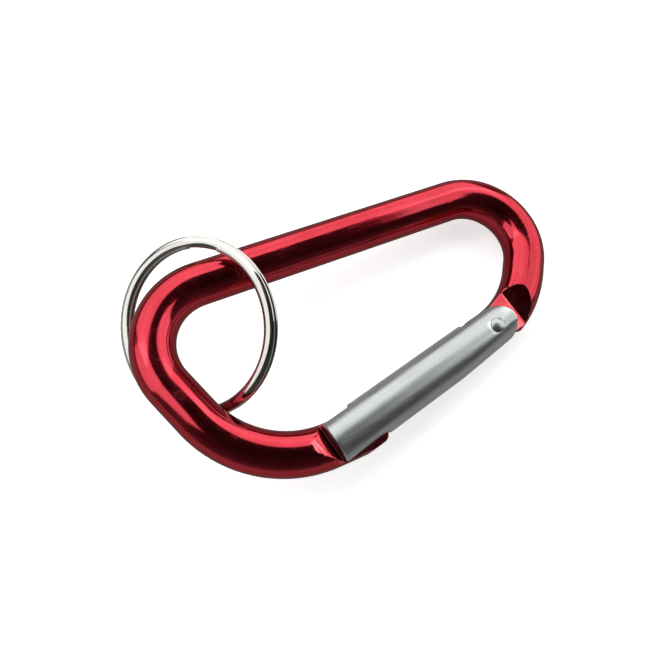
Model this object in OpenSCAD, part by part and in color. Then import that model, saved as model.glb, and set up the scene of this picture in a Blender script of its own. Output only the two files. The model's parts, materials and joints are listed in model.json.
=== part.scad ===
// Carabiner keyring: a bent round bar closed by a sprung gate, with a split ring threaded on it.
// The bar's mid-plane is XY, the straight spine runs along X and the gate lies on the -Y side.
// The origin is the middle of the opening.

/* [Bar] */
// Diameter of the round bar
bar_d = 7.6; // [7.5:0.1:7.8]
// Height of the spine's centreline above the origin
spine_y = 15; // [14.8:0.1:15.4]
// Bend radius between the spine and the wide end
bend_wide = 11.2; // [10.5:0.1:12]
// Bend radius between the wide end and the nose
bend_nose = 19.3; // [18:0.1:19.5]
// Bend radius between the spine and the narrow end
bend_narrow = 10.6; // [9.5:0.1:11]
// Bend radius between the narrow end and the pivot
bend_pivot = 20; // [18:0.1:20]

/* [Gate] */
// Diameter of the gate
gate_d = 8.0; // [7.9:0.1:8.2]
// Distance from the pivot to the gate's nose face
gate_reach = 35.8; // [35.7:0.1:35.9]
// Angle between the gate's axis and the spine
gate_angle = 11.7; // [11.5:0.1:11.9]
// Width of the slots at both ends of the gate
slot_w = 3.5; // [3.4:0.05:3.6]
// Thickness of the bar's flattened ends
tongue_t = 3.3; // [3.1:0.05:3.3]
// Rounding radius of the gate's ears about the pivot
ear_r = 4.25; // [4.2:0.05:4.4]

/* [Pivot rivet] */
// Diameter of the rivet's shank
rivet_d = 2.0; // [1.8:0.1:2.2]
// Diameter of the rivet's heads
rivet_head_d = 2.6; // [2.5:0.1:2.8]
// Height of the cylindrical part of a rivet head
rivet_head_h = 0.45; // [0.3:0.05:0.6]

/* [Closing spring] */
// Diameter of the spring bore in the gate
bore_d = 2.9; // [2.8:0.05:3.0]
// Wire diameter of the spring
spring_wire = 0.35; // [0.3:0.05:0.4]
// Number of turns of the spring
spring_turns = 9; // [7:1:10]

/* [Split ring] */
// Outside diameter of the split ring
ring_d = 31; // [30.6:0.1:31.2]
// Width of the ring's wire, measured along the ring's radius
ring_wire_w = 2.0; // [1.8:0.1:2.1]
// Thickness of one coil of the ring
ring_wire_t = 1.0; // [0.9:0.05:1.05]

/* [Hidden] */
$fn = 64;

// Bar centreline: corners of its polygon as [x, y, bend radius], from the nose to the pivot end.
pivot = [20.3, -11.6];
nose_start = [-3, -18.8];
bar_corners = [
  [-28.3, -18.8, bend_nose],
  [-41, spine_y, bend_wide],
  [45.75, spine_y, bend_narrow],
  [28.2, -10, bend_pivot]
];
bar_overrun = 6;
bar_end = pivot - polar(bar_overrun, gate_angle);

bar_r = bar_d / 2;
gate_r = gate_d / 2;
far = 12;
run_lap = 0.5;
run_step = 0.03;
head_recess = 0.25;

// Gate frame: origin at the pivot, +X away from the nose, +Y into the opening.
nose_x = -gate_reach;
slot_outer = 9.4;
slot_inner = 6.0;
nose_slot_outer_x = nose_x + slot_outer;
nose_slot_inner_x = nose_x + slot_inner;
stop_gap = 0.1;
tongue_outer_y = -4.6;
tongue_tip_r = 1.6;
nose_edge = 0.25;
tongue_side_start = nose_x + 3;

// Shoulders: the flat of each tongue ends in a sloping run-out.
nose_flat_end = nose_x - 0.45;
nose_slope = 2.0;
pivot_flat_end = 6.3;
pivot_slope = 3.3;

// Pivot end: ear pocket, tongue hub and the cam that the plunger presses on.
pocket_r = 6.0;
pocket_floor_y = -2.9;
hub_r = 2.7;
cam_r = 3.9;
cam_offset = 2.0;
cam_angle = 68.5;
tongue_side_y = -2.75;
tongue_side_end = pivot_flat_end - 1;
rivet_clearance = 0.05;

// Taper of the gate's outer side: a wider cylinder, tilted in plan, trims it towards the pivot.
taper_start = -12;
taper_angle = 2.9;
taper_r = gate_r + 0.3;
taper_axis_y = 0.2;
taper_lead = 2;

// Plunger and spring along the gate's axis.
plunger_clearance = 0.1;
plunger_r = bore_d / 2 - plunger_clearance;
plunger_gap = 0.03;
cam_centre = polar(cam_offset, cam_angle);
contact = cam_r + plunger_r + plunger_gap;
plunger_x = cam_centre[0] - sqrt(pow(contact, 2) - pow(cam_centre[1], 2));
plunger_len = 4.5;
bore_end_x = -22;
spring_gap = 0.05;

// Split ring: two coils joined by one short crossover.
ring_r = (ring_d - ring_wire_w) / 2;
ring_centre = [-27.9, 8.5, -2.1];
ring_normal = [-0.613, -0.079, 0.786];
ring_pitch = ring_wire_t + 0.04;
ring_crossover = 26;
ring_crossover_at = 56;
ring_step = 5;
ring_corner = 0.38;

function unit(v) = v / norm(v);
function polar(r, heading) = r * [cos(heading), sin(heading)];
function arc_points(centre, r, from, to, steps) =
  [for (i = [0:steps]) centre + polar(r, from + (to - from) * i / steps)];

// Closed tube through a list of rings of points.
function tube_faces(rings, sides) = concat(
  [for (i = [0:rings - 2]) for (j = [0:sides - 1])
    [i * sides + j, i * sides + (j + 1) % sides, (i + 1) * sides + (j + 1) % sides, (i + 1) * sides + j]],
  [[for (j = [sides - 1:-1:0]) j]],
  [[for (j = [0:sides - 1]) (rings - 1) * sides + j]]
);

module in_gate_frame() {
  translate([pivot[0], pivot[1], 0]) rotate([0, 0, gate_angle]) children();
}

// Straight length of round bar between two points.
module bar_run(a, b, d) {
  heading = atan2(b[1] - a[1], b[0] - a[0]);
  translate([a[0], a[1], 0]) rotate([0, 0, heading]) rotate([0, 90, 0]) cylinder(h = norm(b - a), d = d);
}

function xy(p) = [p[0], p[1]];
function turn_at(prev, here, next) = acos(unit(here - prev) * unit(next - here));
function tangent_length(prev, here, next, r) = r * tan(turn_at(prev, here, next) / 2);

// Bend of the bar at one corner, between its tangent points.
module bar_bend(prev, here, next, r) {
  back = unit(prev - here);
  ahead = unit(next - here);
  turn = turn_at(prev, here, next);
  centre = here + unit(back + ahead) * r / cos(turn / 2);
  stop = here + ahead * tangent_length(prev, here, next, r);
  translate([centre[0], centre[1], 0]) rotate([0, 0, atan2(stop[1] - centre[1], stop[0] - centre[0])])
    rotate_extrude(angle = turn) translate([r, 0]) circle(d = bar_d);
}

// The bar runs clockwise from the nose to the pivot. Each straight run laps into the bends beside it,
// and is a hair thinner than they are, so that no two of their surfaces coincide.
module bar() {
  path = concat([nose_start], [for (c = bar_corners) xy(c)], [bar_end]);
  count = len(bar_corners);
  for (i = [1:count]) bar_bend(path[i - 1], path[i], path[i + 1], bar_corners[i - 1][2]);
  bend_cut = [for (i = [1:count])
    tangent_length(path[i - 1], path[i], path[i + 1], bar_corners[i - 1][2]) - run_lap];
  for (i = [0:count]) {
    ahead = unit(path[i + 1] - path[i]);
    start_cut = i == 0 ? 0 : bend_cut[i - 1];
    end_cut = i == count ? 0 : bend_cut[i];
    bar_run(path[i] + ahead * start_cut, path[i + 1] - ahead * end_cut, bar_d - 2 * run_step);
  }
}

// Two wedges that flatten both faces of a bar end from flat_start to flat_end, then slope out to its surface.
module relief(flat_start, flat_end, slope_end) {
  depth = tongue_t / 2;
  rise = bar_r - depth;
  overshoot = 1.5;
  run = (slope_end - flat_end) * overshoot;
  for (side = [0, 1]) mirror([0, 0, side])
    rotate([90, 0, 0]) translate([0, 0, -far]) linear_extrude(height = 2 * far)
      polygon([
        [flat_start, depth],
        [flat_end, depth],
        [flat_end + run, depth + rise * overshoot],
        [flat_start, depth + rise * overshoot]
      ]);
}

// Plan of everything beyond the nose tongue's tip: the tip slopes like the gate's slot floor.
module beyond_nose_tongue() {
  slope = (nose_slot_inner_x - nose_slot_outer_x) / gate_d;
  lean = sqrt(1 + pow(slope, 2));
  tip_x = nose_slot_outer_x - stop_gap * lean;
  corner_y = tongue_outer_y + tongue_tip_r;
  corner = [tip_x + slope * (corner_y + gate_r) - tongue_tip_r * lean, corner_y];
  translate([0, 0, -far]) linear_extrude(height = 2 * far)
    polygon(concat(
      [[tongue_side_start, tongue_outer_y]],
      arc_points(corner, tongue_tip_r, -90, atan(-slope), 8),
      [
        [tip_x + slope * (gate_r + far), far],
        [-far, far],
        [-far, -far],
        [tongue_side_start, -far]
      ]
    ));
}

// Plan of everything beyond the pivot tongue: it keeps a round hub and the cam.
module beyond_pivot_tongue() {
  difference() {
    translate([-far, -far, -far]) cube([far, 2 * far, 2 * far]);
    cylinder(h = 3 * far, r = hub_r, center = true);
    translate([cam_centre[0], cam_centre[1], 0]) cylinder(h = 3 * far, r = cam_r, center = true);
  }
  translate([-far, tongue_side_y - far, -far]) cube([far + tongue_side_end, far, 2 * far]);
}

module body() {
  color("crimson") difference() {
    bar();
    in_gate_frame() {
      relief(0, nose_flat_end, nose_flat_end - nose_slope);
      relief(-far, pivot_flat_end, pivot_flat_end + pivot_slope);
      beyond_nose_tongue();
      beyond_pivot_tongue();
      cylinder(h = 3 * far, d = rivet_d + 2 * rivet_clearance, center = true);
    }
  }
}

// Room that the outer taper leaves for the gate.
module within_taper() {
  translate([nose_x - 1, -far, -far]) cube([taper_start - nose_x + 1, 2 * far, 2 * far]);
  translate([taper_start, taper_axis_y, 0]) rotate([0, 0, taper_angle]) rotate([0, 90, 0])
    translate([0, 0, -taper_lead]) cylinder(h = 2 * far, r = taper_r);
}

module gate() {
  color("silver") in_gate_frame() difference() {
    intersection() {
      translate([nose_x, 0, 0]) rotate([0, 90, 0]) rotate_extrude()
        polygon([
          [0, 0],
          [gate_r - nose_edge, 0],
          [gate_r, nose_edge],
          [gate_r, gate_reach + far],
          [0, gate_reach + far]
        ]);
      union() {
        translate([nose_x, -far, -far]) cube([gate_reach, 2 * far, 2 * far]);
        cylinder(h = 2 * far, r = ear_r, center = true);
      }
      within_taper();
    }
    // Nose slot with its slanted floor
    translate([0, 0, -slot_w / 2]) linear_extrude(height = slot_w)
      polygon([
        [nose_x - 1, -far],
        [nose_slot_outer_x + (nose_slot_outer_x - nose_slot_inner_x) * (far - gate_r) / gate_d, -far],
        [nose_slot_inner_x - (nose_slot_outer_x - nose_slot_inner_x) * (far - gate_r) / gate_d, far],
        [nose_x - 1, far]
      ]);
    // Ear pocket: open at the end and towards the opening, closed along the outer side
    intersection() {
      translate([-far, pocket_floor_y, -slot_w / 2]) cube([3 * far, 2 * far, slot_w]);
      union() {
        cylinder(h = slot_w, r = pocket_r, center = true);
        translate([0, -far, -slot_w / 2]) cube([far, 2 * far, slot_w]);
      }
    }
    translate([bore_end_x, 0, 0]) rotate([0, 90, 0]) cylinder(h = -bore_end_x - hub_r, d = bore_d);
    cylinder(h = 3 * far, d = rivet_d, center = true);
    for (side = [0, 1]) mirror([0, 0, side])
      translate([0, 0, gate_r - head_recess]) cylinder(h = far, d = rivet_head_d);
  }
}

module pivot_rivet() {
  head_base = gate_r - head_recess;
  dome_h = 0.4;
  dome_r = (pow(rivet_head_d / 2, 2) + pow(dome_h, 2)) / (2 * dome_h);
  color("gainsboro") in_gate_frame() {
    cylinder(h = 2 * head_base, d = rivet_d, center = true);
    for (side = [0, 1]) mirror([0, 0, side]) translate([0, 0, head_base]) intersection() {
      cylinder(h = rivet_head_h + dome_h, d = rivet_head_d);
      translate([0, 0, rivet_head_h + dome_h - dome_r]) sphere(r = dome_r);
    }
  }
}

module spring_plunger() {
  color("lightgray") in_gate_frame() {
    translate([plunger_x, 0, 0]) sphere(r = plunger_r);
    translate([plunger_x - plunger_len, 0, 0]) rotate([0, 90, 0]) cylinder(h = plunger_len, r = plunger_r);
  }
}

// Helix from the closed end of the bore to the plunger.
module gate_spring() {
  sides = 6;
  steps_per_turn = 16;
  coil_r = plunger_r - spring_wire / 2;
  start_x = bore_end_x + spring_wire / 2 + spring_gap;
  length = plunger_x - plunger_len - spring_wire / 2 - spring_gap - start_x;
  steps = spring_turns * steps_per_turn;
  points = [for (i = [0:steps]) for (j = [0:sides - 1])
    let (a = 360 * i / steps_per_turn, b = 360 * j / sides, r = coil_r + spring_wire / 2 * cos(b))
    [start_x + length * i / steps + spring_wire / 2 * sin(b), r * cos(a), r * sin(a)]];
  color("slategray") in_gate_frame() polyhedron(points, tube_faces(steps + 1, sides));
}

// Two flat coils of one rounded wire, with a short crossover between them.
module split_ring() {
  half_w = ring_wire_w / 2 - ring_corner;
  half_t = ring_wire_t / 2 - ring_corner;
  corner_steps = 3;
  section = concat(
    arc_points([half_w, -half_t], ring_corner, 360, 270, corner_steps),
    arc_points([-half_w, -half_t], ring_corner, 270, 180, corner_steps),
    arc_points([-half_w, half_t], ring_corner, 180, 90, corner_steps),
    arc_points([half_w, half_t], ring_corner, 90, 0, corner_steps)
  );
  sides = len(section);
  travel = 720 - ring_crossover;
  steps = ceil(travel / ring_step);
  drop_start = 360 - ring_crossover;
  points = [for (i = [0:steps]) for (p = section)
    let (
      a = travel * i / steps,
      drop = min(1, max(0, (a - drop_start) / ring_crossover)),
      level = ring_pitch * (0.5 - (1 - cos(180 * drop)) / 2),
      heading = ring_crossover_at - ring_crossover / 2 - a
    )
    [(ring_r + p[0]) * cos(heading), (ring_r + p[0]) * sin(heading), level + p[1]]];
  tilt = acos(ring_normal[2] / norm(ring_normal));
  azimuth = atan2(ring_normal[1], ring_normal[0]);
  color("gainsboro") translate(ring_centre)
    rotate([0, 0, azimuth]) rotate([0, tilt, 0]) rotate([0, 0, -azimuth])
      polyhedron(points, tube_faces(steps + 1, sides));
}

body();
gate();
pivot_rivet();
gate_spring();
spring_plunger();
split_ring();
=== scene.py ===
import json
import math

import bmesh
import bpy
from mathutils import Euler, Matrix, Vector


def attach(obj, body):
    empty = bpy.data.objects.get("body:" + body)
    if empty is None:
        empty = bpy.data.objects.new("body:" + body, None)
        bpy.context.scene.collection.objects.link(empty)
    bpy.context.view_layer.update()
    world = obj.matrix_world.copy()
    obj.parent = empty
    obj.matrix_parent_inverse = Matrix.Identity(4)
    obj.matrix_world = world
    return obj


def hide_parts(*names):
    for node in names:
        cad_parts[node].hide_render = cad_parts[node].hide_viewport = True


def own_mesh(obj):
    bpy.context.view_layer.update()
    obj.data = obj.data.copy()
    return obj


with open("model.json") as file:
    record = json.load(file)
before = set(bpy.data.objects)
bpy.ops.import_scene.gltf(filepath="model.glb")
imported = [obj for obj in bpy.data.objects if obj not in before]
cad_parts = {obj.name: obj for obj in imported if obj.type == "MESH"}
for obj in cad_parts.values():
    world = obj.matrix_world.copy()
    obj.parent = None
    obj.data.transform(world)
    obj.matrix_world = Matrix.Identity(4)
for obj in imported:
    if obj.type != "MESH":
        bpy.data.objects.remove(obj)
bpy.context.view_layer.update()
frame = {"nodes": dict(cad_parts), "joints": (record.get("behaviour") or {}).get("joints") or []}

MM = 0.001
scene = bpy.context.scene

# ---------------------------------------------------------------- sizes, in millimetres

# Round surfaces sit a hair inside the CAD ones, so that the whole stays in the CAD box.
SKIN = 0.02

CAD_BAR_R = 3.8
BAR_R = CAD_BAR_R - SKIN
SPINE_Y = 15.0
NOSE_START = Vector((-3.0, -18.8))
# Corners of the centreline, each with its bend radius.
BAR_CORNERS = [
    ((-28.3, -18.8), 19.3),
    ((-41.0, SPINE_Y), 11.2),
    ((45.75, SPINE_Y), 10.6),
    ((28.2, -10.0), 20.0),
]
PIVOT = Vector((20.3, -11.6))
GATE_ANGLE = math.radians(11.7)
BAR_OVERRUN = 6.0
BAR_SIDES = 72
BEND_STEP = math.radians(2.0)
RUN_STEP = 3.0
# Past the edge of whatever a tool cuts.
FAR = 12.0

# Gate frame: origin at the pivot, +X away from the nose, +Y into the opening.
GATE_R = 4.0
GATE_NOSE_X = -35.8
GATE_SIDES = 72
NOSE_EDGE = 0.25
SLOT_W = 3.5
SLOT_OUTER_X = GATE_NOSE_X + 9.4
SLOT_INNER_X = GATE_NOSE_X + 6.0
EAR_R = 4.25
EAR_STEPS = 48
POCKET_R = 6.0
POCKET_STEPS = 32
POCKET_FLOOR_Y = -2.9
BORE_R = 1.45
BORE_SIDES = 40
BORE_END_X = -22.0
TAPER_START = -12.0
TAPER_SLOPE = math.tan(math.radians(2.9))
TAPER_R = 4.3
TAPER_AXIS_Y = 0.2
TAPER_STEP = 2.0
TAPER_STATIONS = 10

# Flattened ends of the bar.
TONGUE_HALF = 1.65
NOSE_FLAT_END = GATE_NOSE_X - 0.45
PIVOT_FLAT_END = 6.3
PIVOT_SLOPE = 3.3
# The nose's slope is longer than the CAD's. It turns over a rounded shoulder into the bar's surface,
# down to this last tilt.
NOSE_SLOPE = 3.3
NOSE_SHOULDER = 1.95
SHOULDER_TILT = math.radians(12)
SHOULDER_STEPS = 8
# The relief tools run this far past the shoulder and reach this high.
SHOULDER_OVERRUN = 3.0
RELIEF_TOP = 6.0
TONGUE_OUTER_Y = -4.6
TONGUE_TIP_R = 1.6
TONGUE_TIP_STEPS = 12
# The nose's tongue is shaped from this far inside the gate's nose.
TONGUE_START = 3.0
STOP_GAP = 0.1
TONGUE_SIDE_Y = -2.75
HUB_R = 2.7
CAM_R = 3.9
CAM_OFFSET = 2.0
CAM_ANGLE = math.radians(68.5)
CAM_CENTRE = (CAM_OFFSET * math.cos(CAM_ANGLE), CAM_OFFSET * math.sin(CAM_ANGLE))
CAM_SIDES = 96

RIVET_R = 1.0
RIVET_SIDES = 64
RIVET_HEAD_R = 1.3
RIVET_HEAD_BASE = 3.75
RIVET_HEAD_H = 0.45
RIVET_DOME_H = 0.38
RIVET_HEAD_EDGE = 0.05
RIVET_DOME_STEPS = 14
RIVET_POLE_R = 0.02
RIVET_PLAY = 0.05
HOLE_SIDES = 48

PLUNGER_R = 1.35
PLUNGER_SIDES = 48
PLUNGER_DOME = [math.radians(a) for a in range(0, 89, 6)]
PLUNGER_LEN = 4.5
PLUNGER_GAP = 0.03
PLUNGER_EDGE = 0.12
SPRING_WIRE = 0.35
SPRING_TURNS = 9
SPRING_STEPS = 28
SPRING_SIDES = 10
SPRING_GAP = 0.05

RING_CENTRE = Vector((-27.9, 8.5, -2.1))
RING_NORMAL = Vector((-0.613, -0.079, 0.786)).normalized()
RING_R = 14.5
RING_WIDTH = 2.0 - 2 * SKIN
RING_THICK = 1.0
RING_PITCH = 1.04
RING_CROSSOVER = 26.0
RING_CROSSOVER_AT = 56.0
RING_STEP = 1.5
# The wire's ends round off over this length: shares of it from the end, each with the size of the section.
RING_END = 0.08
RING_END_SCALES = [(0, 0.86), (0.4, 0.96), (1, 1.0)]
# Half the turn of the surface across a face of the wire.
RING_CROWN = math.radians(35)
RING_ARC_STEPS = 8

EDGE_BEVEL = 0.13
GATE_BEVEL = 0.09
BEVEL_ANGLE = math.radians(25)
# Points closer than this are one point.
WELD = 0.004
# An edge that turns more than this gets worn.
WORN_ANGLE = math.radians(14)
# Edges that turn more than these many degrees stay sharp on the turned pieces and on the ring.
TURNED_SHARP = 40
RING_SHARP = 50

# ---------------------------------------------------------------- camera and studio

CAMERA_PLACE = Vector((-36.196, -24.285, 96.826)) * MM
CAMERA_TURN = Euler([math.radians(a) for a in (18.533, -10.207, -24.508)], "XYZ")
CAMERA_LENS = 32.38

# The carabiner lies on the ring's lowest point, the narrow bend and the rivet.
FLOOR_UP = Vector((-0.1078, 0.0706, 0.9917)).normalized()
# The floor, the backdrop and the soft lights are in metres.
FLOOR_SIZE = 3.0
FLOOR_TONE = 0.86
FLOOR_GLOW = 0.62
# The metal mirrors a floor that is dimmer by this factor, a little above the one that the camera sees.
FLOOR_MIRRORED = 0.36
MIRRORED_LIFT = 0.05
# A pale wall all round, which only the camera sees.
BACKDROP_R = 0.5
BACKDROP_H = 0.35
BACKDROP_GLOW = 0.9
BACKDROP_SIDES = 96
# Brightness of the room by the sine of the height, from the horizon to the ceiling.
WORLD_TONES = [(0.0, 0.16), (0.3, 0.10), (0.6, 0.05)]
# Width and height of the camera's dark front, and how far it is behind the camera's eye.
SHADE_SIZE = (105, 75)
SHADE_BEHIND = 4
SOFTBOX_DISTANCE = 0.6
# Azimuth and elevation in degrees, width, height and brightness of each soft light.
SOFTBOXES = [
    ("back_box", 92, 36, 1.3, 0.74, 2.0),
    ("right_box", 4, 34, 0.55, 0.66, 1.9),
    ("left_box", 166, 33, 0.42, 0.72, 1.7),
]


def add_camera():
    data = bpy.data.cameras.new("camera")
    data.sensor_width = 36
    data.lens = CAMERA_LENS
    data.clip_start = 0.005
    camera = bpy.data.objects.new("camera", data)
    camera.location = CAMERA_PLACE
    camera.rotation_euler = CAMERA_TURN
    scene.collection.objects.link(camera)
    scene.camera = camera


def add_softbox(name, azimuth, elevation, width, height, radiance):
    """A soft light that faces the origin. Its power follows from its size and its brightness."""
    a, e = math.radians(azimuth), math.radians(elevation)
    place = Vector((math.cos(e) * math.cos(a), math.cos(e) * math.sin(a), math.sin(e))) * SOFTBOX_DISTANCE
    data = bpy.data.lights.new(name, "AREA")
    data.shape = "RECTANGLE"
    data.size = width
    data.size_y = height
    data.energy = radiance * math.pi * width * height
    light = bpy.data.objects.new(name, data)
    light.location = place
    light.rotation_euler = (-place).to_track_quat("-Z", "Y").to_euler()
    scene.collection.objects.link(light)


def add_camera_shade():
    """The dark front of the camera's body, which the polished bar mirrors as its black bands."""
    back = CAMERA_TURN.to_matrix() @ Vector((0, 0, 1))
    shade = flat_panel("camera_shade", *SHADE_SIZE)
    shade.rotation_euler = CAMERA_TURN
    shade.location = CAMERA_PLACE + back * SHADE_BEHIND * MM
    m = bpy.data.materials.new("black_card")
    m.use_nodes = True
    shader = m.node_tree.nodes["Principled BSDF"]
    shader.inputs["Base Color"].default_value = (0.01, 0.01, 0.01, 1)
    shader.inputs["Roughness"].default_value = 0.9
    shade.data.materials.append(m)
    shade.visible_camera = False


def add_world():
    world = bpy.data.worlds.new("studio")
    scene.world = world
    world.use_nodes = True
    nodes, links = world.node_tree.nodes, world.node_tree.links
    background = nodes["Background"]
    place = nodes.new("ShaderNodeTexCoord")
    split = nodes.new("ShaderNodeSeparateXYZ")
    ramp = nodes.new("ShaderNodeValToRGB")
    links.new(place.outputs["Generated"], split.inputs[0])
    links.new(split.outputs["Z"], ramp.inputs[0])
    links.new(ramp.outputs[0], background.inputs["Color"])
    steps = ramp.color_ramp.elements
    while len(steps) < len(WORLD_TONES):
        steps.new(0.5)
    for step, (height, tone) in zip(steps, WORLD_TONES):
        step.position = height
        step.color = (tone, tone, tone, 1)
    background.inputs["Strength"].default_value = 1.0


def stage_surface(o, tone, glow, seen_by):
    """Makes a matt stage surface that only the named kinds of ray meet."""
    m = bpy.data.materials.new(o.name)
    m.use_nodes = True
    shader = m.node_tree.nodes["Principled BSDF"]
    shader.inputs["Base Color"].default_value = (tone, tone, tone, 1)
    shader.inputs["Roughness"].default_value = 0.9
    shader.inputs["Specular IOR Level"].default_value = 0.1
    shader.inputs["Emission Color"].default_value = (1, 1, 1, 1)
    shader.inputs["Emission Strength"].default_value = glow
    o.data.materials.append(m)
    for kind in ("camera", "diffuse", "glossy", "transmission", "shadow"):
        setattr(o, "visible_" + kind, kind in seen_by)


def add_floor():
    lowest = min((v.co.dot(FLOOR_UP) for o in frame["nodes"].values() for v in o.data.vertices))
    turn = FLOOR_UP.to_track_quat("Z", "Y").to_euler()
    surfaces = (
        ("floor", 0, 1, ("camera", "diffuse", "shadow")),
        ("mirrored_floor", MIRRORED_LIFT, FLOOR_MIRRORED, ("glossy",)),
    )
    for name, lift, share, seen_by in surfaces:
        floor = flat_panel(name, FLOOR_SIZE / MM, FLOOR_SIZE / MM)
        floor.location = FLOOR_UP * (lowest + lift * MM)
        floor.rotation_euler = turn
        stage_surface(floor, FLOOR_TONE * share, FLOOR_GLOW * share, seen_by)

    n, radius, height = BACKDROP_SIDES, BACKDROP_R / MM, BACKDROP_H / MM
    turns = [2 * math.pi * j / n for j in range(n)]
    points = [(radius * math.cos(t), radius * math.sin(t), h) for h in (0, height) for t in turns]
    walls = [(j, (j + 1) % n, (j + 1) % n + n, j + n) for j in range(n)]
    backdrop = mesh_object("backdrop", points, walls)
    backdrop.location = FLOOR_UP * lowest
    backdrop.rotation_euler = turn
    stage_surface(backdrop, 0.0, BACKDROP_GLOW, ("camera",))


# ---------------------------------------------------------------- mesh building

def in_gate_frame():
    return Matrix.Translation((PIVOT.x, PIVOT.y, 0)) @ Matrix.Rotation(GATE_ANGLE, 4, "Z")


def mesh_object(name, points, faces, matrix=None):
    """A mesh from points in millimetres."""
    matrix = matrix or Matrix.Identity(4)
    mesh = bpy.data.meshes.new(name)
    mesh.from_pydata([(matrix @ Vector(p)) * MM for p in points], [], faces)
    bm = bmesh.new()
    bm.from_mesh(mesh)
    bmesh.ops.recalc_face_normals(bm, faces=bm.faces)
    bm.to_mesh(mesh)
    bm.free()
    o = bpy.data.objects.new(name, mesh)
    scene.collection.objects.link(o)
    return o


def flat_panel(name, width, height):
    """A flat rectangle about the origin."""
    x, y = width / 2, height / 2
    return mesh_object(name, [(-x, -y, 0), (x, -y, 0), (x, y, 0), (-x, y, 0)], [(0, 1, 2, 3)])


def tube(name, rings, matrix=None):
    """A closed skin over rings of points, capped at both ends."""
    n = len(rings[0])
    points = [p for ring in rings for p in ring]
    faces = [(i * n + j, i * n + (j + 1) % n, (i + 1) * n + (j + 1) % n, (i + 1) * n + j)
             for i in range(len(rings) - 1) for j in range(n)]
    faces.append(tuple(range(n)))
    faces.append(tuple((len(rings) - 1) * n + j for j in range(n)))
    return mesh_object(name, points, faces, matrix)


def prism(name, outline, low, high, matrix=None, plane="XY"):
    """An outline drawn in the XY or XZ plane, extended along the third axis."""
    place = (lambda p, h: (p[0], p[1], h)) if plane == "XY" else (lambda p, h: (p[0], h, p[1]))
    return tube(name, [[place(p, low) for p in outline], [place(p, high) for p in outline]], matrix)


def arc(centre, radius, start, end, steps):
    """Points along an arc, with angles in radians."""
    turns = [start + (end - start) * i / steps for i in range(steps + 1)]
    return [(centre[0] + radius * math.cos(t), centre[1] + radius * math.sin(t)) for t in turns]


def lathe(name, profile, sides, axis, matrix=None):
    """A solid of revolution from (place along the axis, radius) pairs."""
    turns = [2 * math.pi * j / sides for j in range(sides)]
    if axis == "X":
        rings = [[(h, r * math.cos(t), r * math.sin(t)) for t in turns] for h, r in profile]
    else:
        rings = [[(r * math.cos(t), r * math.sin(t), h) for t in turns] for h, r in profile]
    return tube(name, rings, matrix)


def cut(o, tool, operation="DIFFERENCE"):
    modifier = o.modifiers.new(tool.name, "BOOLEAN")
    modifier.operation = operation
    modifier.solver = "EXACT"
    modifier.object = tool
    settle(o)
    bpy.data.objects.remove(tool)


def settle(o):
    """Makes the modifiers' result the object's own mesh."""
    bpy.context.view_layer.update()
    result = bpy.data.meshes.new_from_object(o.evaluated_get(bpy.context.evaluated_depsgraph_get()))
    o.modifiers.clear()
    o.data = result


def shade_round(o, sharp):
    """Shades a piece smooth except over edges that turn more than this many degrees."""
    o.data.shade_smooth()
    o.data.set_sharp_from_angle(angle=math.radians(sharp))


def soften(o, width):
    """Rounds the edges and shades the flats flat."""
    bm = bmesh.new()
    bm.from_mesh(o.data)
    bmesh.ops.remove_doubles(bm, verts=bm.verts, dist=WELD * MM)
    bmesh.ops.dissolve_degenerate(bm, edges=bm.edges, dist=WELD * MM)
    bm.to_mesh(o.data)
    bm.free()
    bevel = o.modifiers.new("bevel", "BEVEL")
    bevel.width = width * MM
    bevel.segments = 3
    bevel.limit_method = "ANGLE"
    bevel.angle_limit = BEVEL_ANGLE
    bevel.use_clamp_overlap = False
    bevel.miter_outer = "MITER_ARC"
    settle(o)
    o.data.shade_smooth()
    normals = o.modifiers.new("normals", "WEIGHTED_NORMAL")
    normals.keep_sharp = True
    normals.weight = 80
    settle(o)


def add_fields(o, grain):
    """Stores each vertex's wear, from how sharply the surface turns there, and its place along the grain."""
    bm = bmesh.new()
    bm.from_mesh(o.data)
    bm.normal_update()
    wear = [0.0] * len(bm.verts)
    for edge in bm.edges:
        if len(edge.link_faces) == 2 and edge.calc_face_angle(0) > WORN_ANGLE:
            for v in edge.verts:
                wear[v.index] = 1.0
    bm.free()
    field = o.data.attributes.new("wear", "FLOAT", "POINT")
    field.data.foreach_set("value", wear)
    places = [c for v in o.data.vertices for c in grain(v.co / MM)]
    field = o.data.attributes.new("grain", "FLOAT_VECTOR", "POINT")
    field.data.foreach_set("vector", places)


# ---------------------------------------------------------------- the bent bar

def bar_path():
    """Stretches of the centreline: ("run", start, end) and ("bend", centre, radius, start angle, turn)."""
    end = PIVOT - BAR_OVERRUN * Vector((math.cos(GATE_ANGLE), math.sin(GATE_ANGLE)))
    corners = [NOSE_START] + [Vector(c) for c, _ in BAR_CORNERS] + [end]
    here = NOSE_START
    stretches = []
    for i, (_, radius) in enumerate(BAR_CORNERS, 1):
        back = (corners[i - 1] - corners[i]).normalized()
        ahead = (corners[i + 1] - corners[i]).normalized()
        turn = math.pi - back.angle(ahead)
        tangent = radius * math.tan(turn / 2)
        start = corners[i] + back * tangent
        centre = corners[i] + (back + ahead).normalized() * radius / math.cos(turn / 2)
        stretches.append(("run", here, start))
        out = start - centre
        stretches.append(("bend", centre, radius, math.atan2(out.y, out.x), -turn))
        here = corners[i] + ahead * tangent
    stretches.append(("run", here, end))
    return stretches


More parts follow.
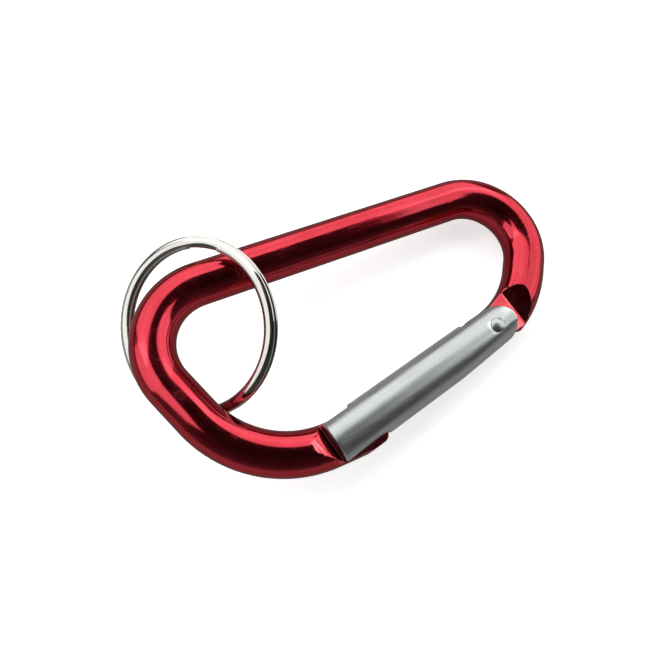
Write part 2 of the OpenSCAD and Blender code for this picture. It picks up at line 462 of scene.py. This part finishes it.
def bar_stations():
    """Places along the centreline, each with its outward side."""
    stations = []
    for s in bar_path():
        if s[0] == "run":
            ahead = (s[2] - s[1]).normalized()
            out = Vector((-ahead.y, ahead.x))
            steps = max(1, round((s[2] - s[1]).length / RUN_STEP))
            stations += [(s[1].lerp(s[2], k / steps), out) for k in range(steps)]
            last = (s[2], out)
        else:
            _, centre, radius, start, turn = s
            steps = max(2, round(abs(turn) / BEND_STEP))
            for k in range(steps):
                a = start + turn * k / steps
                out = Vector((math.cos(a), math.sin(a)))
                stations.append((centre + out * radius, out))
    return stations + [last]


def bar_grain(p):
    """Distance along the bar, offset from its centreline in the plane, and height."""
    flat, best, along, found = p.to_2d(), 1e9, 0.0, None
    for s in bar_path():
        if s[0] == "run":
            ahead = (s[2] - s[1]).normalized()
            t = min(max((flat - s[1]).dot(ahead), 0), (s[2] - s[1]).length)
            off = flat - (s[1] + ahead * t)
            side = off.dot(Vector((-ahead.y, ahead.x)))
            length = (s[2] - s[1]).length
        else:
            _, centre, radius, start, turn = s
            out = flat - centre
            t = (start - math.atan2(out.y, out.x)) % (2 * math.pi)
            t = min(t, -turn) if t < math.pi + turn * -0.5 else 0
            off = flat - (centre + Vector((math.cos(start - t), math.sin(start - t))) * radius)
            side = out.length - radius
            t *= radius
            length = -turn * radius
        if off.length < best:
            best, found = off.length, (along + t, side, p.z)
        along += length
    return found


def reliefs(flat_start, flat_end, slope_end, shoulder=0.0):
    """Tools that flatten both faces of a bar end and slope out to its surface, sharply or by a shoulder."""
    ahead = math.copysign(1, slope_end - flat_end)
    foot = Vector((flat_end, TONGUE_HALF))
    last = Vector((slope_end, CAD_BAR_R))
    beyond = last + (last - foot)
    edge = [last]
    if shoulder:
        bend = last - Vector((ahead, math.tan(SHOULDER_TILT))) * shoulder
        first = bend + (foot - bend).normalized() * shoulder / 2
        parts = [k / SHOULDER_STEPS for k in range(SHOULDER_STEPS + 1)]
        edge = [first.lerp(bend, t).lerp(bend.lerp(last, t), t) for t in parts]
        beyond = last + Vector((ahead, math.tan(SHOULDER_TILT))) * SHOULDER_OVERRUN
    high = [(beyond.x, RELIEF_TOP), (flat_start, RELIEF_TOP)]
    profile = [(flat_start, TONGUE_HALF), foot, *edge, beyond, *high]
    sides = [[(x, side * z) for x, z in profile] for side in (1, -1)]
    return [prism("relief", outline, -FAR, FAR, in_gate_frame(), "XZ") for outline in sides]


def beyond_nose_tongue():
    slope = (SLOT_INNER_X - SLOT_OUTER_X) / (2 * GATE_R)
    lean = math.hypot(1, slope)
    tip_x = SLOT_OUTER_X - STOP_GAP * lean
    corner_y = TONGUE_OUTER_Y + TONGUE_TIP_R
    corner = (tip_x + slope * (corner_y + GATE_R) - TONGUE_TIP_R * lean, corner_y)
    start = GATE_NOSE_X + TONGUE_START
    outline = [(start, TONGUE_OUTER_Y)]
    outline += arc(corner, TONGUE_TIP_R, -math.pi / 2, math.atan(-slope), TONGUE_TIP_STEPS)
    outline += [(tip_x + slope * (GATE_R + FAR), FAR), (-FAR, FAR), (-FAR, -FAR), (start, -FAR)]
    return prism("beyond_nose_tongue", outline, -FAR, FAR, in_gate_frame())


def beyond_pivot_tongue():
    nose_side = [(-FAR, -FAR), (0, -FAR), (0, FAR), (-FAR, FAR)]
    tool = prism("beyond_pivot_tongue", nose_side, -FAR, FAR, in_gate_frame())
    for centre, radius in (((0, 0), HUB_R), (CAM_CENTRE, CAM_R)):
        disc = arc(centre, radius, 0, 2 * math.pi, CAM_SIDES)[:-1]
        cut(tool, prism("disc", disc, -2 * FAR, 2 * FAR, in_gate_frame()))
    return tool


def build_body():
    turns = [2 * math.pi * j / BAR_SIDES for j in range(BAR_SIDES)]
    section = [(BAR_R * math.cos(t), BAR_R * math.sin(t)) for t in turns]
    rings = [[(p.x + out.x * side, p.y + out.y * side, height) for side, height in section]
             for p, out in bar_stations()]
    o = tube("bent_bar", rings)
    tools = reliefs(0, NOSE_FLAT_END, NOSE_FLAT_END - NOSE_SLOPE, NOSE_SHOULDER)
    tools += reliefs(-FAR, PIVOT_FLAT_END, PIVOT_FLAT_END + PIVOT_SLOPE)
    start, end, low = -FAR, PIVOT_FLAT_END - 1, -2 * FAR
    tongue_side = [(start, low), (end, low), (end, TONGUE_SIDE_Y), (start, TONGUE_SIDE_Y)]
    hole = arc((0, 0), RIVET_R + RIVET_PLAY, 0, 2 * math.pi, HOLE_SIDES)[:-1]
    tools += [
        beyond_nose_tongue(),
        beyond_pivot_tongue(),
        prism("tongue_side", tongue_side, -FAR, FAR, in_gate_frame()),
        prism("rivet_hole", hole, -FAR, FAR, in_gate_frame()),
    ]
    for tool in tools:
        cut(o, tool)
    soften(o, EDGE_BEVEL)
    add_fields(o, bar_grain)
    return o


# ---------------------------------------------------------------- the gate and what is in it

def gate_radius(x, t, radius):
    """Radius of the gate at x and angle t: a tilted wider cylinder trims its outer side towards the pivot."""
    if x <= TAPER_START:
        return radius
    centre_y = TAPER_AXIS_Y + (x - TAPER_START) * TAPER_SLOPE
    along = centre_y * math.cos(t)
    trimmed = along + math.sqrt(along * along - centre_y * centre_y + TAPER_R * TAPER_R)
    return min(radius, trimmed)


def build_gate():
    radius = GATE_R - SKIN
    turns = [2 * math.pi * j / GATE_SIDES for j in range(GATE_SIDES)]
    profile = [(GATE_NOSE_X, radius - NOSE_EDGE), (GATE_NOSE_X + NOSE_EDGE, radius)]
    profile += [(TAPER_START + TAPER_STEP * k, radius) for k in range(TAPER_STATIONS)]
    skin = [[(x, t, gate_radius(x, t, r)) for t in turns] for x, r in profile]
    rings = [[(x, r * math.cos(t), r * math.sin(t)) for x, t, r in ring] for ring in skin]
    frame_matrix = in_gate_frame()
    o = tube("gate_tube", rings, frame_matrix)
    quarter = math.pi / 2
    before = GATE_NOSE_X - 2
    round_end = arc((0, 0), EAR_R - SKIN, -quarter, quarter, EAR_STEPS)
    ears = [(before, -FAR), (0, -FAR), *round_end, (0, FAR), (before, FAR)]
    cut(o, prism("ears", ears, -FAR, FAR, frame_matrix), "INTERSECT")
    lean = (SLOT_OUTER_X - SLOT_INNER_X) * (FAR - GATE_R) / (2 * GATE_R)
    slot = [(before, -FAR), (SLOT_OUTER_X + lean, -FAR), (SLOT_INNER_X - lean, FAR), (before, FAR)]
    cut(o, prism("nose_slot", slot, -SLOT_W / 2, SLOT_W / 2, frame_matrix))
    start = math.pi + math.asin(-POCKET_FLOOR_Y / POCKET_R)
    floor = arc((0, 0), POCKET_R, start, quarter, POCKET_STEPS)
    pocket = [*floor, (0, FAR), (FAR, FAR), (FAR, POCKET_FLOOR_Y)]
    cut(o, prism("ear_pocket", pocket, -SLOT_W / 2, SLOT_W / 2, frame_matrix))
    cut(o, lathe("bore", [(BORE_END_X, BORE_R), (-HUB_R, BORE_R)], BORE_SIDES, "X", frame_matrix))
    cut(o, lathe("rivet_hole", [(-FAR, RIVET_R), (FAR, RIVET_R)], HOLE_SIDES, "Z", frame_matrix))
    for side in (1, -1):
        recess = [(h, RIVET_HEAD_R) for h in sorted((side * RIVET_HEAD_BASE, side * FAR))]
        cut(o, lathe("head_recess", recess, HOLE_SIDES, "Z", frame_matrix))
    soften(o, GATE_BEVEL)
    back = frame_matrix.inverted()
    add_fields(o, lambda p: tuple(back @ p))
    return o


def build_rivet():
    head_r = RIVET_HEAD_R - SKIN
    dome_r = (head_r ** 2 + RIVET_DOME_H ** 2) / (2 * RIVET_DOME_H)
    reach = math.asin(head_r / dome_r)
    turns = [reach * k / RIVET_DOME_STEPS for k in range(RIVET_DOME_STEPS, 0, -1)]
    pole = RIVET_HEAD_BASE + RIVET_HEAD_H + RIVET_DOME_H
    dome = [(pole - dome_r * (1 - math.cos(t)), dome_r * math.sin(t)) for t in turns]
    base, edge = RIVET_HEAD_BASE, RIVET_HEAD_EDGE
    upper = [(base, RIVET_R), (base, head_r - edge), (base + edge, head_r), *dome, (pole, RIVET_POLE_R)]
    profile = [(-h, r) for h, r in reversed(upper)] + upper
    o = lathe("rivet", profile, RIVET_SIDES, "Z", in_gate_frame())
    shade_round(o, TURNED_SHARP)
    add_fields(o, lambda p: (p.x - PIVOT.x, p.y - PIVOT.y, p.z))
    return o


def build_plunger():
    tip_x = plunger_tip()
    radius = PLUNGER_R - SKIN
    back_x = tip_x - PLUNGER_LEN
    profile = [(back_x, radius - PLUNGER_EDGE), (back_x + PLUNGER_EDGE, radius)]
    profile += [(tip_x + radius * math.sin(t), radius * math.cos(t)) for t in PLUNGER_DOME]
    o = lathe("plunger", profile, PLUNGER_SIDES, "X", in_gate_frame())
    shade_round(o, TURNED_SHARP)
    back = in_gate_frame().inverted()
    add_fields(o, lambda p: tuple(back @ p))
    return o


def plunger_tip():
    reach = CAM_R + PLUNGER_R + PLUNGER_GAP
    return CAM_CENTRE[0] - math.sqrt(reach ** 2 - CAM_CENTRE[1] ** 2)


def build_spring():
    """Helix between the closed end of the bore and the plunger, with a flat turn at each end."""
    wire_r = SPRING_WIRE / 2
    start = BORE_END_X + wire_r + SPRING_GAP
    length = plunger_tip() - PLUNGER_LEN - wire_r - SPRING_GAP - start
    coil_r = PLUNGER_R - SKIN - wire_r
    steps = SPRING_TURNS * SPRING_STEPS
    sides = [2 * math.pi * j / SPRING_SIDES for j in range(SPRING_SIDES)]
    section = [(wire_r * math.cos(b), wire_r * math.sin(b)) for b in sides]
    rings = []
    for i in range(steps + 1):
        turns = i / SPRING_STEPS
        rise = min(1, max(0, (turns - 1) / (SPRING_TURNS - 2)))
        closed = min(turns, 1) + max(0, turns - SPRING_TURNS + 1)
        x = start + closed * SPRING_WIRE + rise * (length - 2 * SPRING_WIRE)
        a = 2 * math.pi * turns
        rings.append([(x + h, (coil_r + w) * math.cos(a), (coil_r + w) * math.sin(a)) for w, h in section])
    o = tube("spring", rings, in_gate_frame())
    o.data.shade_smooth()
    back = in_gate_frame().inverted()
    add_fields(o, lambda p: tuple(back @ p))
    return o, length


def squash_spring(o, length):
    """Reads the plunger's stroke from its slide joint and gives the spring a mesh of its own; the spring
    keeps its length.
    """
    slide = next(j for j in frame["joints"] if j["name"] == "plunger_slide")
    stroke = max(abs(x) for x in slide["range_m"]) / MM
    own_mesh(o)


# ---------------------------------------------------------------- the split ring

def ring_section(scale):
    """Section of the ring's wire, crowned faces that run into round edges, as (radial, level) offsets."""
    half_w, half_t = RING_WIDTH / 2, RING_THICK / 2
    sine, cosine = math.sin(RING_CROWN), math.cos(RING_CROWN)
    rest = (1 - sine) / cosine
    crown_r = (half_w - rest * half_t) / (sine - rest * (1 - cosine))
    edge_r = (half_t - crown_r * (1 - cosine)) / cosine
    quarter = math.pi / 2
    points = []
    for side in (0, math.pi):
        edge = ((half_w - edge_r) * math.cos(side), 0)
        crown = (0, (half_t - crown_r) * math.cos(side))
        first, last = side + quarter - RING_CROWN, side + quarter + RING_CROWN
        points += arc(edge, edge_r, side - quarter + RING_CROWN, first, RING_ARC_STEPS)[:-1]
        points += arc(crown, crown_r, first, last, RING_ARC_STEPS)[:-1]
    return [(w * scale, t * scale) for w, t in points]


def ring_matrix():
    """Tips the ring's axis from Z to its normal, by the shortest way."""
    turn = Vector((0, 0, 1)).rotation_difference(RING_NORMAL).to_matrix().to_4x4()
    return Matrix.Translation(RING_CENTRE) @ turn


def build_ring():
    travel = 720 - RING_CROSSOVER
    count = round(travel / RING_STEP)
    end_turn = math.degrees(RING_END / RING_R)
    places = [(end_turn * share, scale) for share, scale in RING_END_SCALES]
    places += [(travel * i / count, 1.0) for i in range(1, count)]
    places += [(travel - end_turn * share, scale) for share, scale in reversed(RING_END_SCALES)]
    rings = []
    for a, scale in places:
        drop = min(1, max(0, (a - (360 - RING_CROSSOVER)) / RING_CROSSOVER))
        level = RING_PITCH * (0.5 - (1 - math.cos(math.pi * drop)) / 2)
        t = math.radians(RING_CROSSOVER_AT - RING_CROSSOVER / 2 - a)
        section = [(RING_R + w, level + h) for w, h in ring_section(scale)]
        rings.append([(r * math.cos(t), r * math.sin(t), h) for r, h in section])
    matrix = ring_matrix()
    o = tube("ring_coils", rings, matrix)
    shade_round(o, RING_SHARP)
    back = matrix.inverted()

    def grain(p):
        q = back @ p
        return (math.atan2(q.y, q.x) * RING_R, math.hypot(q.x, q.y) - RING_R, q.z)
    add_fields(o, grain)
    return o


# ---------------------------------------------------------------- materials

class Finish:
    """A metal finish with grain, blotches, fine scratches and worn edges."""

    def __init__(self, name):
        self.material = bpy.data.materials.new(name)
        self.material.use_nodes = True
        self.tree = self.material.node_tree
        self.shader = self.tree.nodes["Principled BSDF"]
        self.shader.inputs["Metallic"].default_value = 1
        self.object_place = self.node("ShaderNodeTexCoord").outputs["Object"]
        grain = self.node("ShaderNodeAttribute")
        grain.attribute_name = "grain"
        self.grain_place = grain.outputs["Vector"]
        wear = self.node("ShaderNodeAttribute")
        wear.attribute_name = "wear"
        self.wear_field = wear.outputs["Fac"]

    def node(self, kind, **values):
        n = self.tree.nodes.new(kind)
        for key, value in values.items():
            setattr(n, key, value)
        return n

    def link(self, source, target):
        self.tree.links.new(source, target)

    def stretched(self, source, scale, turn=(0, 0, 0)):
        mapping = self.node("ShaderNodeMapping")
        mapping.inputs["Scale"].default_value = scale
        mapping.inputs["Rotation"].default_value = [math.radians(t) for t in turn]
        self.link(source, mapping.inputs["Vector"])
        return mapping.outputs[0]

    def noise(self, source, scale, detail=4.0, roughness=0.55):
        n = self.node("ShaderNodeTexNoise")
        n.inputs["Scale"].default_value = scale
        n.inputs["Detail"].default_value = detail
        n.inputs["Roughness"].default_value = roughness
        self.link(source, n.inputs["Vector"])
        return n.outputs["Fac"]

    def fit(self, source, low, high, to_low, to_high):
        n = self.node("ShaderNodeMapRange")
        for key, value in (("From Min", low), ("From Max", high), ("To Min", to_low), ("To Max", to_high)):
            n.inputs[key].default_value = value
        self.link(source, n.inputs["Value"])
        return n.outputs[0]

    def math(self, operation, a, b):
        n = self.node("ShaderNodeMath", operation=operation)
        for socket, value in zip(n.inputs, (a, b)):
            if isinstance(value, (int, float)):
                socket.default_value = value
            else:
                self.link(value, socket)
        return n.outputs[0]

    def mix(self, factor, a, b):
        n = self.node("ShaderNodeMix", data_type="RGBA")
        self.link(factor, n.inputs["Factor"])
        for socket, value in ((n.inputs["A"], a), (n.inputs["B"], b)):
            if isinstance(value, tuple):
                socket.default_value = (*value, 1)
            else:
                self.link(value, socket)
        return n.outputs["Result"]

    def scratches(self, turn, density):
        """Thin lines where a strongly stretched noise passes through its middle value."""
        scale = [density * x for x in (60, 2600, 2600)]
        lines = self.noise(self.stretched(self.object_place, scale, turn), 1.0, 1.0)
        near = self.math("ABSOLUTE", self.math("SUBTRACT", lines, 0.5), 0)
        thin = self.fit(near, 0.0, 0.006, 1.0, 0.0)
        patches = self.noise(self.stretched(self.object_place, (260, 260, 260), turn), 1.0, 2.0)
        return self.math("MULTIPLY", thin, self.fit(patches, 0.52, 0.6, 0.0, 1.0))

    def bump(self, height, distance, strength, normal=None):
        n = self.node("ShaderNodeBump")
        n.inputs["Strength"].default_value = strength
        n.inputs["Distance"].default_value = distance * MM
        self.link(height, n.inputs["Height"])
        if normal:
            self.link(normal, n.inputs["Normal"])
        return n.outputs[0]


def metal(name, colour, shade, worn, roughness, grain_scale, grain_depth, scratch_depth,
          coat=0.0, painted_rim_shade=(1, 1, 1)):
    """Metal that varies from colour to shade, with rubbed edges in the worn colour.

    roughness holds its lowest and highest value, the depths are in millimetres, and rim tints the
    grazing reflections, where a dark tint is painted shade.
    """
    f = Finish(name)
    blotches = f.noise(f.object_place, 90, 3)
    smudges = f.noise(f.object_place, 240, 5, 0.65)
    grain = f.noise(f.stretched(f.grain_place, grain_scale), 1.0, 3)
    scratches = f.math("MAXIMUM", f.scratches((10, 20, 35), 1.0), f.scratches((70, 15, -50), 0.8))
    along, across, up = grain_scale
    streaks = f.noise(f.stretched(f.grain_place, (along, across * 0.3, up * 0.3)), 1.0, 3)
    base = f.mix(f.fit(f.math("ADD", blotches, streaks), 0.8, 1.2, 0, 1), colour, shade)
    rubbed = f.math("MULTIPLY", f.wear_field, f.fit(smudges, 0.42, 0.62, 0.1, 0.7))
    base = f.mix(f.math("MAXIMUM", rubbed, f.math("MULTIPLY", scratches, 0.25)), base, worn)
    f.link(base, f.shader.inputs["Base Color"])
    low, high = roughness
    rough = f.fit(smudges, 0.3, 0.7, low, high)
    rough = f.math("ADD", rough, f.fit(grain, 0.3, 0.7, -0.2 * low, 0.2 * low))
    rough = f.math("ADD", rough, f.math("MULTIPLY", scratches, 0.15))
    f.link(rough, f.shader.inputs["Roughness"])
    normal = f.bump(streaks, grain_depth * 3, 1.0)
    normal = f.bump(grain, grain_depth, 1.0, normal)
    micro = f.noise(f.object_place, 5200, 2)
    normal = f.bump(micro, grain_depth * 0.25, 1.0, normal)
    normal = f.bump(f.math("SUBTRACT", 1.0, scratches), scratch_depth, 1.0, normal)
    f.link(normal, f.shader.inputs["Normal"])
    # A dark tint here is painted shade on the grazing reflections.
    f.shader.inputs["Specular Tint"].default_value = (*painted_rim_shade, 1)
    f.shader.inputs["Coat Weight"].default_value = coat
    f.shader.inputs["Coat Roughness"].default_value = 0.08
    return f.material


def dress(o, material):
    o.data.materials.clear()
    o.data.materials.append(material)


def place(o, node, body, slot, material):
    dress(o, material)
    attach(o, body)
    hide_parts(node)


# ---------------------------------------------------------------- the scene

scene.view_settings.view_transform = "Standard"
add_camera()
add_world()
add_floor()
add_camera_shade()
for box in SOFTBOXES:
    add_softbox(*box)

# The red bar's dark grazing tint is painted shade on its rims.
anodised = metal(
    "red_anodised", (0.47, 0.024, 0.042), (0.35, 0.010, 0.020), (0.75, 0.22, 0.24), roughness=(0.10, 0.17),
    grain_scale=(0.03, 5.0, 5.0), grain_depth=0.0020, scratch_depth=0.003, coat=0.4, painted_rim_shade=(0.2, 0.03, 0.06))
satin = metal(
    "satin_aluminium", (0.385, 0.405, 0.395), (0.35, 0.37, 0.36), (0.85, 0.86, 0.86), roughness=(0.31, 0.37),
    grain_scale=(0.12, 9.0, 9.0), grain_depth=0.004, scratch_depth=0.006)
rivet_steel = metal(
    "rivet_steel", (0.40, 0.42, 0.40), (0.34, 0.36, 0.34), (0.6, 0.61, 0.6), roughness=(0.28, 0.38),
    grain_scale=(2.0, 2.0, 2.0), grain_depth=0.006, scratch_depth=0.006)
spring_steel = metal(
    "spring_steel", (0.45, 0.46, 0.47), (0.38, 0.39, 0.40), (0.6, 0.6, 0.6), roughness=(0.24, 0.34),
    grain_scale=(0.5, 6.0, 6.0), grain_depth=0.002, scratch_depth=0.002)
nickel = metal(
    "nickel_plate", (0.5, 0.495, 0.46), (0.45, 0.44, 0.41), (0.85, 0.84, 0.80), roughness=(0.07, 0.13),
    grain_scale=(0.05, 7.0, 7.0), grain_depth=0.0012, scratch_depth=0.003)

place(build_body(), "body", "carabiner", "red_anodised", anodised)
place(build_gate(), "gate", "gate", "satin_aluminium", satin)
place(build_rivet(), "pivot_rivet", "gate", "rivet_steel", rivet_steel)
place(build_plunger(), "spring_plunger", "plunger", "spring_steel", spring_steel)
place(build_ring(), "split_ring", "ring", "nickel_plate", nickel)
spring, spring_length = build_spring()
place(spring, "gate_spring", "gate", "spring_steel", spring_steel)
squash_spring(spring, spring_length)
